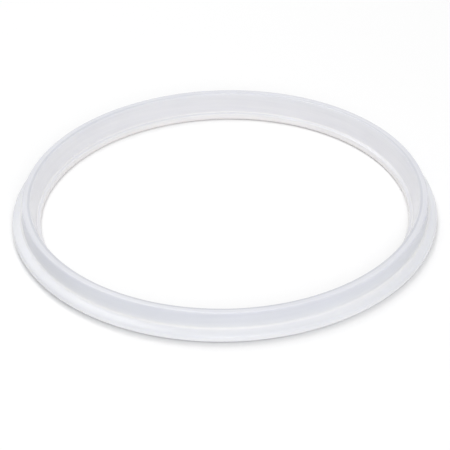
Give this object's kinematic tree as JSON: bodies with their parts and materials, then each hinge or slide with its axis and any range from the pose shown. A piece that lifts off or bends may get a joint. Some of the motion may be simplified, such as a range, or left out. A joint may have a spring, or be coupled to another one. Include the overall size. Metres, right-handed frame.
{
  "type": "pressure cooker sealing ring",
  "caption": "Moulded silicone sealing ring for a stovetop pressure cooker lid, with a raised rim that is flat on top and bevelled inwards, a lip around the bore and a flared outer skirt.",
  "frame": {"origin": "centre of the ring on its base plane, the plane that it rests on", "axes": "+Z along the ring's axis, from its base towards its rim; +X and +Y are alike, because the ring is round"},
  "size_m": [0.25, 0.25, 0.0164],
  "materials": {
    "silicone": "soft milky translucent silicone, satin, with faint flow streaks around the ring"
  },
  "bodies": {
    "root": {"sealing_ring": "silicone"}
  },
  "joints": []
}
